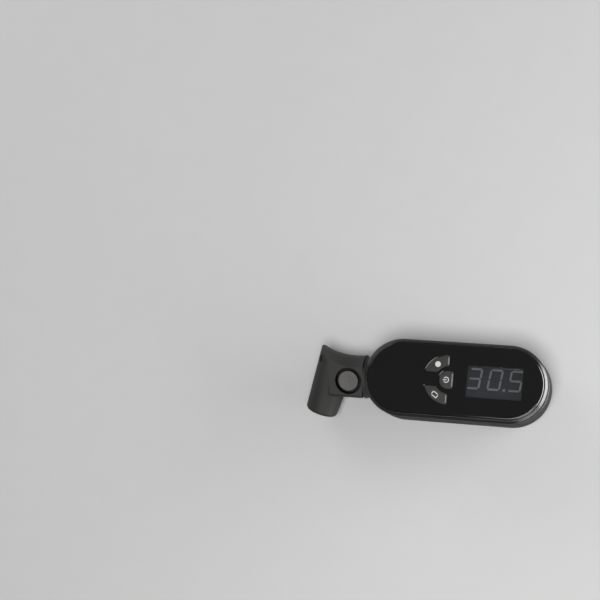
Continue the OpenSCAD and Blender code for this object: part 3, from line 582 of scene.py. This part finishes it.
def metal(name, color, roughness):
    """Metal with fine marks drawn out along one axis."""
    material, nodes, links = shader(name)
    surface = nodes["Principled BSDF"]
    surface.inputs["Metallic"].default_value = 1.0
    place_in = add(nodes, "ShaderNodeTexCoord")
    drawn = add(nodes, "ShaderNodeMapping", Scale=(1, 1, 12))
    marks = add(nodes, "ShaderNodeTexNoise", Scale=900.0, Detail=4.0, Roughness=0.6)
    tint = ramp(nodes, color, 0.8, 1.1)
    dull = add(nodes, "ShaderNodeMapRange", To_Min=roughness * 0.7, To_Max=roughness * 1.3)
    links.new(place_in.outputs["Object"], drawn.inputs["Vector"])
    links.new(drawn.outputs["Vector"], marks.inputs["Vector"])
    links.new(marks.outputs["Fac"], tint.inputs["Fac"])
    links.new(marks.outputs["Fac"], dull.inputs["Value"])
    links.new(tint.outputs["Color"], surface.inputs["Base Color"])
    links.new(dull.outputs["Result"], surface.inputs["Roughness"])
    return material


def lit(name, color, glow):
    """A display segment that lets the backlight through, a little uneven along its length."""
    material, nodes, links = shader(name)
    surface = nodes["Principled BSDF"]
    surface.inputs["Roughness"].default_value = 0.4
    surface.inputs["Emission Strength"].default_value = glow
    place_in = add(nodes, "ShaderNodeTexCoord")
    noise = add(nodes, "ShaderNodeTexNoise", Scale=260.0, Detail=2.0)
    tint = ramp(nodes, color, 0.8, 1.1)
    links.new(place_in.outputs["Object"], noise.inputs["Vector"])
    links.new(noise.outputs["Fac"], tint.inputs["Fac"])
    links.new(tint.outputs["Color"], surface.inputs["Base Color"])
    links.new(tint.outputs["Color"], surface.inputs["Emission Color"])
    return material


def clear(name, color, alpha):
    """Thin smoked plastic over the display, with faint unevenness in its gloss."""
    material = plastic(name, color, 0.06, grain=0.0)
    material.node_tree.nodes["Principled BSDF"].inputs["Alpha"].default_value = alpha
    return material


SHELL = plastic("shell_black", (0.012, 0.012, 0.0118), 0.58, grain=0.010, specular=0.12)
FRONT = plastic("front_black", (0.008, 0.008, 0.008), 0.24, grain=0.001, specular=0.45)
FACE = plastic("face_black", (0.0045, 0.0047, 0.0044), 0.07, grain=0.0, spread=0.05)
HEAD = plastic("head_black", (0.0125, 0.0120, 0.0113), 0.62, grain=0.012, specular=0.38)
KEY = plastic("key_black", (0.013, 0.0127, 0.0123), 0.30, grain=0.004)
BUTTON = plastic("button_grey", (0.066, 0.062, 0.060), 0.6, grain=0.03, grain_size=0.3, spread=0.3, patch=0.8)
# Painted shade: a near-black matte laid on the well's walls and the button's skirt, where the recess lies in shade
WELL_SHADE = plastic("well_painted_shade", (0.005, 0.005, 0.005), 0.7, grain=0.01, specular=0.1)
ICON = plastic("icon_white", (0.42, 0.41, 0.40), 0.5, grain=0.003, spread=0.04)
LENS = clear("lens_clear", (0.006, 0.006, 0.007), 0.22)
LCD = plastic("lcd_dark", (0.039, 0.0417, 0.048), 0.25, grain=0.0, spread=0.06)
SEGMENT = lit("lcd_light", (0.182, 0.195, 0.219), 0.065)
WHITE = plastic("white_plastic", (0.80, 0.80, 0.77), 0.5, grain=0.006, spread=0.04)
NYLON = plastic("nylon", (0.42, 0.42, 0.40), 0.5, grain=0.006, spread=0.06)
INNER = plastic("black_plastic", (0.006, 0.006, 0.006), 0.6, grain=0.008, specular=0.12)
RUBBER = plastic("rubber", (0.014, 0.014, 0.014), 0.75, grain=0.012, specular=0.3)
BOARD = plastic("board_green", (0.02, 0.13, 0.06), 0.3, grain=0.004)
BRASS = metal("brass", (0.72, 0.54, 0.25), 0.25)
STEEL = metal("steel", (0.60, 0.60, 0.61), 0.28)

SLOT_LOOKS = {
    "shell_black": SHELL, "face_black": FACE, "head_black": HEAD, "key_black": KEY, "button_grey": BUTTON,
    "lens_clear": LENS, "lcd_dark": LCD, "lcd_light": SEGMENT, "white_plastic": WHITE, "nylon": NYLON,
    "black_plastic": INNER, "rubber": RUBBER, "board_green": BOARD, "brass": BRASS, "steel": STEEL,
}


def dress_solids():
    """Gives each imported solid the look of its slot, with soft shading on its round faces."""
    for part in frame["record"]["subparts"]:
        obj = frame["nodes"][part["node"]]
        obj.data.materials.clear()
        obj.data.materials.append(SLOT_LOOKS[part["material_slot"]])
        smooth(obj, 35)


# Body
def drill(name, r, depth, x, y, flare=0.0):
    """A cutter for a round hole in the back, opened out a little at its mouth."""
    points = [(r + flare, -CUT), (r + flare, 0), (r, flare), (r, depth)]
    return move(turned_piece(name, points), Matrix.Translation((x, y, 0)))


def rear_shell():
    inner = BODY_R - WALL
    points = ellipse(BACK_R, BACK_ROUND_H, BODY_R - BACK_R, BACK_ROUND_H, -90, 0, BACK_POINTS)
    points += profile(
        (BODY_R, BACK_ROUND_H), (BODY_R, SEAM_Z - SEAM_EDGE, SEAM_ROUND),
        (BODY_R - SEAM_EDGE, SEAM_Z, SEAM_ROUND), (TONGUE_R, SEAM_Z), (TONGUE_R, SEAM_Z + TONGUE_H),
        (inner, SEAM_Z + TONGUE_H), (inner, BACK_ROUND_H),
    )[1:-1]
    inner_h = BACK_ROUND_H - FLOOR_T
    points += ellipse(BACK_R, BACK_ROUND_H, inner - BACK_R, inner_h, 0, -90, BACK_INNER_POINTS)
    shell = capsule_piece("rear_shell_skin", points)
    screws = [(SCREW_HIGH[0] - SCREW_HEAD_R, 0)]
    screws += [(SCREW_LOW[0] + SCREW_HEAD_R, side * (SCREW_HIGH[1] - SCREW_HEAD_R)) for side in (-1, 1)]
    cutters = [
        drill("door_recess", DOOR_R + MOVE_GAP, DOOR_RECESS, DOOR_X, 0, DOOR_RECESS_FLARE),
        drill("door_hole", DOOR_HOLE_R, FLOOR_T + CUT, DOOR_X, 0),
    ]
    sink_r = SCREW_HEAD_R + SCREW_GAP
    cutters += [drill("screw_sink", sink_r, SCREW_SINK, x, y, SCREW_FLARE) for x, y in screws]
    neck = turned_piece("neck_hole", [(SPIGOT_R, -CUT), (SPIGOT_R, 2 * WALL)])
    to_neck = Matrix.Translation((REAR_LOW[0], 0, NECK_Z)) @ Matrix.Rotation(math.pi / 2, 4, "Y")
    cut(shell, *cutters, move(neck, to_neck))
    place(smooth(shell), SHELL, "body", "shell_black", "rear_shell")
    second_look(shell, FRONT, lambda point: SEAM_Z - SEAM_EDGE < point.z < SEAM_Z)


def front_shell():
    low = SEAM_Z + SEAM_GAP
    rebate_r = TONGUE_R + FIT_GAP
    inner = BODY_R - WALL
    points = profile(
        (rebate_r, low), (FRONT_R, low, FRONT_FOOT_ROUND), (FRONT_R, RIM_Z - SHOULDER_H, SHOULDER_ROUND),
        (RIM_R, RIM_Z, RIM_ROUND), (SEAT_R, RIM_Z, EDGE_ROUND), (SEAT_R, LEDGE_TOP), (LEDGE_R, LEDGE_TOP),
        (LEDGE_R, LEDGE_TOP - LEDGE_T), (inner, SEAM_Z + REBATE_H), (rebate_r, SEAM_Z + REBATE_H),
        closed=True,
    )
    shell = capsule_piece("front_shell_skin", points, closed=True)
    place(smooth(shell), SHELL, "body", "shell_black", "front_shell")
    second_look(shell, FRONT, lambda point: point.z > RIM_Z - SHOULDER_H - LOOK_MARGIN)


def key_cutter(outline):
    hole = grown(outline, MOVE_GAP)
    return mesh_object("key_cut", *loft([level(hole, PANEL_Z - CUT), level(hole, FACE_Z + CUT)]))


def key_edge(outline):
    """A low mound that leaves a raised edge round a key's hole, fading out towards the display."""
    share = np.clip((FADE_FROM - outward(outline)[:, 0]) / FADE_RUN, FADE_LEAST, 1)
    foot = grown(outline, MOVE_GAP + HOLE_EDGE + HOLE_SLOPE * share)
    crest = grown(outline, MOVE_GAP + HOLE_EDGE)
    crest_z = FACE_Z + HOLE_EDGE_H * share
    loops = [level(foot, FACE_Z - HOLE_ROOT), level(foot, FACE_Z), level(crest, crest_z)]
    return mesh_object("key_edge", *loft(loops))


def window_outline(gap=0.0):
    """Outline of the window's raised middle, inside the lens's flange."""
    return grown(box_outline(LENS_LOW + WINDOW_FLANGE, LENS_HIGH - WINDOW_FLANGE, WINDOW_CORNER), gap)


def face_panel():
    panel = capsule_piece("face_sheet", profile(
        (FACE_R - PANEL_FOOT, PANEL_Z), (FACE_R, PANEL_Z + PANEL_FOOT, PANEL_FOOT_ROUND),
        (FACE_R, FACE_Z - PANEL_BEVEL, EDGE_ROUND), (FACE_R - PANEL_BEVEL, FACE_Z, PANEL_BEVEL_ROUND),
        (FACE_R - 2 * PANEL_BEVEL, FACE_Z),
    ))
    window = window_outline(WINDOW_GAP)
    opening = mesh_object("window_cut", *loft([level(window, PANEL_Z - CUT), level(window, FACE_Z + CUT)]))
    outlines = [sector_outline(1), sector_outline(-1), power_outline()]
    combine(panel, "UNION", [key_edge(outline) for outline in outlines])
    cut(panel, opening, *[key_cutter(outline) for outline in outlines])
    place(smooth(panel, 20), FACE, "body", "face_black", "face_panel")


def display_lens():
    flange = box_outline(LENS_LOW, LENS_HIGH, FLANGE_CORNER)
    flange_top = PANEL_Z - FIT_GAP
    loops = [
        level(flange, LENS_LOW[2]), level(flange, flange_top), level(window_outline(), flange_top),
        level(window_outline(), FACE_Z - WINDOW_EDGE), level(window_outline(-WINDOW_EDGE), FACE_Z),
    ]
    lens = smooth(mesh_object("display_window", *loft(loops)))
    place(lens, LENS, "body", "lens_clear", "display_lens")


def key(node, outline):
    """A key with its top edge broken, a wide bevel towards the display, and a lip under the face."""
    lip_top = KEY_LIP_Z + KEY_LIP_T
    wide = np.clip((outward(outline)[:, 0] - WIDE_FROM) / WIDE_RUN, 0, 1)
    run = KEY_EDGE + (KEY_BEVEL - KEY_EDGE) * wide
    rise = KEY_EDGE_H + (KEY_BEVEL_H - KEY_EDGE_H) * wide
    loops = [
        level(grown(outline, KEY_LIP), KEY_LIP_Z), level(grown(outline, KEY_LIP), lip_top),
        level(outline, lip_top), level(outline, KEY_TOP - rise), level(grown(outline, -run), KEY_TOP),
        level(grown(outline, -run - KEY_INSET), KEY_TOP),
    ]
    piece = smooth(mesh_object(node + "_cap", *loft(loops)), 20)
    place(piece, KEY, node, "key_black", node)


# Marks printed on the keys
def print_up(name, outline):
    """A flat printed patch on top of a key."""
    loops = [level(outline, KEY_TOP - PRINT_SINK), level(outline, KEY_TOP + PRINT_T)]
    return mesh_object(name, *loft(loops))


def ribbon(name, points, width):
    """A flat printed line of even width through points in the plane of the face."""
    points = np.array(points, float)
    along = np.gradient(points, axis=0)
    along /= np.linalg.norm(along, axis=1)[:, None]
    across = np.stack([-along[:, 1], along[:, 0]], 1) * width / 2
    return print_up(name, np.concatenate([points + across, (points - across)[::-1]]))


def key_marks():
    """A dot for the light, a power sign, and two brackets for the mode."""
    dot = turned_piece("light_mark", [(DOT_R, KEY_TOP - PRINT_SINK), (DOT_R, KEY_TOP + PRINT_T)])
    place(move(dot, Matrix.Translation(DOT_AT)), ICON, "light_key", "white_plastic")

    bow = circle_curve(BOW_R, 180 + BOW_OPENING, 540 - BOW_OPENING)
    bar = line_curve((KEY_X + BAR_IN, 0), (KEY_X - BAR_OUT, 0))
    power = join("power_mark", [ribbon("bow", bow, MARK_LINE), ribbon("bar", bar, MARK_LINE)])
    middle = Matrix.Translation(((POWER_FLAT - POWER_R) / 2, 0, 0))
    place(move(power, middle), ICON, "power_key", "white_plastic")

    bracket = np.array(profile(
        (-BRACKET_HALF_W, BRACKET_GAP - BRACKET_HALF_H), (-BRACKET_HALF_W, BRACKET_HALF_H, BRACKET_CORNER),
        (BRACKET_HALF_W - BRACKET_GAP, BRACKET_HALF_H),
    ))
    brackets = [ribbon("bracket", bracket * side, MARK_LINE) for side in (1, -1)]
    turn = Matrix.Translation(BRACKETS_AT) @ Matrix.Rotation(BRACKETS_TURN, 4, "Z")
    place(move(join("mode_mark", brackets), turn), ICON, "mode_key", "white_plastic")


# Head, as a distance field
def round_max(a, b, r):
    """Larger of two distances, with the edge between them rounded."""
    most = np.maximum(a, b)
    corner = np.hypot(np.maximum(a + r, 0), np.maximum(b + r, 0)) - r
    return np.where(most < -r, most, corner)


def soft_min(a, b, r):
    """Smaller of two distances, with the corner between them filled."""
    share = np.maximum(r - np.abs(a - b), 0) / r
    return np.minimum(a, b) - share**2 * r / 4


def to_line(p, start, direction):
    """Distance of points from an endless line, and how far along it they are."""
    d = p - start
    along = d @ direction
    return np.sqrt(np.maximum((d * d).sum(-1) - along**2, 0)), along


def head_field(p):
    """Distance of points from the head's skin, negative inside, in the head's frame."""
    x, y, z = p[..., 0], p[..., 1], p[..., 2]
    up = np.array([math.sin(LEAN), math.cos(LEAN), 0.0])
    off, along = to_line(p, np.zeros(3), up)
    around = np.hypot(y, z)
    front = z - ARM_FRONT

    share = (along + TUBE_DOWN) / (TUBE_UP + TUBE_DOWN)
    tube = off - (TUBE_R_LOW + (TUBE_R_HIGH - TUBE_R_LOW) * share)
    tube = round_max(tube, -TUBE_DOWN - along, TUBE_ROUND)
    tube = round_max(tube, along - TUBE_UP, TUBE_TOP_ROUND)
    arm = round_max(around - ARM_R, -z - ARM_BACK, ARM_BACK_ROUND)
    arm = round_max(arm, -y - ARM_LOW, ARM_LOW_ROUND)
    arm = round_max(arm, x - ARM_END, ARM_EDGE)
    skin = soft_min(tube, np.maximum(arm, -x), ARM_FILLET)
    softness = np.clip((EDGE_CHANGE_X - x) / EDGE_CHANGE_RUN, 0, 1)
    softness = softness * softness * (3 - 2 * softness)
    skin = round_max(skin, front, ARM_EDGE + (TUBE_EDGE - ARM_EDGE) * softness)
    ring = np.hypot(around - SADDLE_LOW - SADDLE_R, x - SADDLE_X)
    skin = np.where(y > 0, round_max(skin, SADDLE_R - ring, ARM_EDGE), skin)

    button = np.hypot(x - BUTTON_X, y - BUTTON_Y)
    skin = round_max(skin, -np.maximum(button - WELL_R, WELL_Z - z), WELL_ROUND)
    skin = np.maximum(skin, -np.maximum(button - VALVE_R, VALVE_Z - z))
    skin = round_max(skin, -np.maximum(off - NOSE_R, along + TUBE_DOWN - NOSE_DEEP), NOSE_ROUND)
    skin = np.maximum(skin, -np.maximum(off - CHAMBER_R, along - CHAMBER_TOP))
    skin = np.maximum(skin, -np.maximum(around - SHAFT_HOLE_R, ARM_END - SHAFT_SEAT - x))
    skin = np.maximum(skin, -np.maximum(around - PASSAGE_R, -x))
    flat = math.cos(VENT_TURN)
    side = np.array([-math.cos(LEAN) * flat, math.sin(LEAN) * flat, math.sin(VENT_TURN)])
    vent_off, vent_out = to_line(p, VENT_UP * up, side)
    vent = np.maximum(vent_off - VENT_R, TUBE_R_HIGH - VENT_DEEP - vent_out)
    return round_max(skin, -vent, VENT_ROUND)


def settle(field, points, step):
    """Moves points along the field's slope towards its zero level, by less than half a cell."""
    small = 0.02
    least_slope = 0.25
    most_shift = 0.4 * step
    slope = np.stack([field(points + small * axis) - field(points - small * axis) for axis in np.eye(3)], 1)
    slope /= 2 * small
    size = np.maximum((slope * slope).sum(1), least_slope)
    shift = -(field(points) / size)[:, None] * slope
    length = np.linalg.norm(shift, axis=1)[:, None]
    return points + shift * np.minimum(1, most_shift / np.maximum(length, 1e-9))


def surface_of(field, low, high, step):
    """Quads over the zero level of a distance field: one point in each cell that the level crosses."""
    axes = [np.arange(a, b + step, step) for a, b in zip(low, high)]
    value = field(np.stack(np.meshgrid(*axes, indexing="ij"), -1))
    inside = value < 0

    def corner(c):
        return value[tuple(slice(c[d], value.shape[d] - 1 + c[d]) for d in range(3))]

    count = np.zeros([n - 1 for n in value.shape], int)
    total = np.zeros(list(count.shape) + [3])
    for a in np.ndindex(2, 2, 2):
        for d in range(3):
            if a[d]:
                continue
            near = corner(a)
            far = corner(np.array(a) + np.eye(3, dtype=int)[d])
            crosses = (near < 0) != (far < 0)
            spot = np.array(a, float) + np.zeros(total.shape)
            spot[..., d] += np.where(crosses, near / np.where(crosses, near - far, 1), 0)
            total += spot * crosses[..., None]
            count += crosses
    cells = count > 0
    number = np.full(count.shape, -1)
    number[cells] = np.arange(cells.sum())
    points = (np.argwhere(cells) + total[cells] / count[cells][:, None]) * step + np.array(low)

    faces = []
    for d in range(3):
        e, f = (d + 1) % 3, (d + 2) % 3
        first = np.take(inside, range(inside.shape[d] - 1), d)
        second = np.take(inside, range(1, inside.shape[d]), d)
        spots = np.argwhere(first != second)
        quad = []
        for back_e, back_f in ((1, 1), (0, 1), (0, 0), (1, 0)):
            cell = spots.copy()
            cell[:, e] -= back_e
            cell[:, f] -= back_f
            quad.append(number[tuple(cell.T)])
        faces.append(np.stack(quad, 1))
    for _ in range(SETTLE_ROUNDS):
        points = settle(field, points, step)
    return points, np.concatenate(faces)


def head_housing():
    points, faces = surface_of(head_field, HEAD_LOW, HEAD_HIGH, HEAD_STEP)
    piece = smooth(move(mesh_object("head_skin", points, faces), HEAD_FRAME), 40)
    place(piece, HEAD, "head", "head_black", "head_housing")
    to_button = BUTTON_FRAME.inverted()

    # Faces inside the button's well, which are given painted shade
    def in_painted_shade(point):
        spot = to_button @ point
        near = math.hypot(spot.x, spot.y) < WELL_R + WELL_SHADE_W
        return near and 0 < spot.z < ARM_FRONT - WELL_SHADE_H

    second_look(piece, WELL_SHADE, in_painted_shade)


def release_button():
    low = ARM_FRONT - BUTTON_DEEP
    inner = BUTTON_R - BUTTON_SKIRT
    piece = turned_piece("button_cap", profile(
        (inner, ARM_FRONT - BUTTON_T), (inner, low), (BUTTON_R, low), (BUTTON_R, ARM_FRONT, BUTTON_ROUND),
        (BUTTON_R - BUTTON_BAND, ARM_FRONT, DISH_ROUND), (DISH_R, ARM_FRONT - BUTTON_DISH, DISH_ROUND),
        (DISH_MIDDLE_R, ARM_FRONT - BUTTON_DISH),
    ))
    place(smooth(piece, 40), BUTTON, "release", "button_grey", "release_button")
    # The button's skirt below its rounded top gets the well's painted shade
    second_look(piece, WELL_SHADE, lambda point: point.z < ARM_FRONT - BUTTON_SHADE_H)
    move(piece, BUTTON_FRAME)


def release_spring():
    """The coil spring under the button."""
    low = WELL_Z + GUIDE_LIP_T + SPRING_GAP
    high = ARM_FRONT - BUTTON_T - SPRING_GAP
    side = np.linspace(0, 2 * math.pi, SPRING_SIDES, endpoint=False)
    off = SPRING_R + SPRING_WIRE_R * np.cos(side)
    rise = high - low - 2 * SPRING_WIRE_R
    loops = []
    for share in np.linspace(0, 1, SPRING_STEPS * SPRING_TURNS + 1):
        turn = 2 * math.pi * SPRING_TURNS * share
        z = low + SPRING_WIRE_R + rise * share + SPRING_WIRE_R * np.sin(side)
        loops.append(np.stack([off * math.cos(turn), off * math.sin(turn), z], 1))
    piece = smooth(move(mesh_object("spring_coil", *loft(loops)), BUTTON_FRAME))
    place(piece, STEEL, "head", "steel", "release_spring")
    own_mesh(piece)


def neck_collar():
    piece = turned_piece("collar_ring", profile(
        (COLLAR_HOLE_R, 0), (COLLAR_R, 0, COLLAR_ROUND), (COLLAR_R - COLLAR_TAPER, COLLAR_T),
        (COLLAR_HOLE_R, COLLAR_T),
        closed=True,
    ), closed=True)
    move(piece, Matrix.Translation((COLLAR_LOW[0], 0, NECK_Z)) @ Matrix.Rotation(math.pi / 2, 4, "Y"))
    place(smooth(piece), HEAD, "body", "head_black", "neck_collar")


def battery_door():
    low, high = DOOR_LOW[2], DOOR_HIGH[2]
    lip_top = low + DOOR_LIP_T
    piece = turned_piece("door_disc", profile(
        (DOOR_R - DOOR_FLAT, low), (DOOR_R, low, DOOR_ROUND), (DOOR_R, lip_top), (DOOR_PLUG_R, lip_top),
        (DOOR_PLUG_R, high),
    ))
    turn = np.radians(np.linspace(-90, 90, SLOT_POINTS))
    half = np.stack([SLOT_HALF + SLOT_R * np.cos(turn), SLOT_R * np.sin(turn)], 1)
    outline = np.concatenate([half, -half])
    mouth = grown(outline, SLOT_FLARE)
    slot = mesh_object("coin_slot", *loft([
        level(mouth, low - CUT), level(mouth, low), level(outline, low + SLOT_FLARE),
        level(outline, low + SLOT_DEEP),
    ]))
    cut(piece, slot)
    move(piece, Matrix.Translation((DOOR_X, 0, 0)))
    place(smooth(piece), SHELL, "battery_door", "shell_black", "battery_door")


# Camera, floor and light
CAMERA_YAW = math.radians(16)
CAMERA_PITCH = math.radians(9)
CAMERA_ROLL = math.radians(5.88)
CAMERA_OFFSET = Vector((68.96, 35.96, 670.66))
CAMERA_LENS = 90
CAMERA_SENSOR = 36
FLOOR_HALF = 3000
FLOOR_Z = -0.02
WORLD_STRENGTH = 0.14


def camera():
    """The photograph's view: the offset is where the camera sees the middle of the face."""
    flip = Matrix.Diagonal((1, -1, -1))
    turn = Matrix.Rotation(CAMERA_ROLL, 3, "Z") @ flip
    turn = turn @ Matrix.Rotation(-CAMERA_PITCH, 3, "X") @ Matrix.Rotation(-CAMERA_YAW, 3, "Y")
    back = turn.transposed()
    data = bpy.data.cameras.new("camera")
    data.lens = CAMERA_LENS
    data.sensor_width = CAMERA_SENSOR
    obj = link("camera", data)
    at = (Vector((0, 0, FACE_Z)) - back @ CAMERA_OFFSET) * MM
    obj.matrix_world = Matrix.Translation(at) @ (back @ flip).to_4x4()
    bpy.context.scene.camera = obj


def floor():
    signs = [(-1, -1), (1, -1), (1, 1), (-1, 1)]
    corners = [(x * FLOOR_HALF, y * FLOOR_HALF, FLOOR_Z) for x, y in signs]
    piece = mesh_object("floor", corners, [(0, 1, 2, 3)])
    pale = plastic("floor_pale", (0.42, 0.42, 0.42), 0.7, grain=0.0, spread=0.01, specular=0.2)
    piece.data.materials.append(pale)


def softbox(name, at, size, power):
    """An area light at a place in metres, turned towards the gauge."""
    data = bpy.data.lights.new(name, "AREA")
    data.shape = "ELLIPSE"
    data.size, data.size_y = size
    data.energy = power
    obj = link(name, data)
    obj.location = at
    obj.rotation_euler = Vector(at).to_track_quat("Z", "Y").to_euler()


def light():
    softbox("light_above", (0.08, -0.25, 0.96), (0.45, 0.45), 9)
    softbox("light_right", (0.80, 0.11, 0.15), (1.25, 0.28), 17)
    softbox("light_left", (-0.655, 0.55, 0.28), (0.7, 0.25), 3.4)
    softbox("light_low", (0.51, -0.60, 0.13), (0.75, 0.08), 1.5)
    world = bpy.data.worlds.new("world")
    world.use_nodes = True
    background = world.node_tree.nodes["Background"]
    background.inputs["Color"].default_value = (1, 1, 1, 1)
    background.inputs["Strength"].default_value = WORLD_STRENGTH
    bpy.context.scene.world = world


camera()
floor()
light()
bpy.context.scene.view_settings.view_transform = "Standard"
dress_solids()
rear_shell()
front_shell()
face_panel()
display_lens()
key("light_key", sector_outline(1))
key("mode_key", sector_outline(-1))
key("power_key", power_outline())
key_marks()
head_housing()
release_button()
release_spring()
neck_collar()
battery_door()
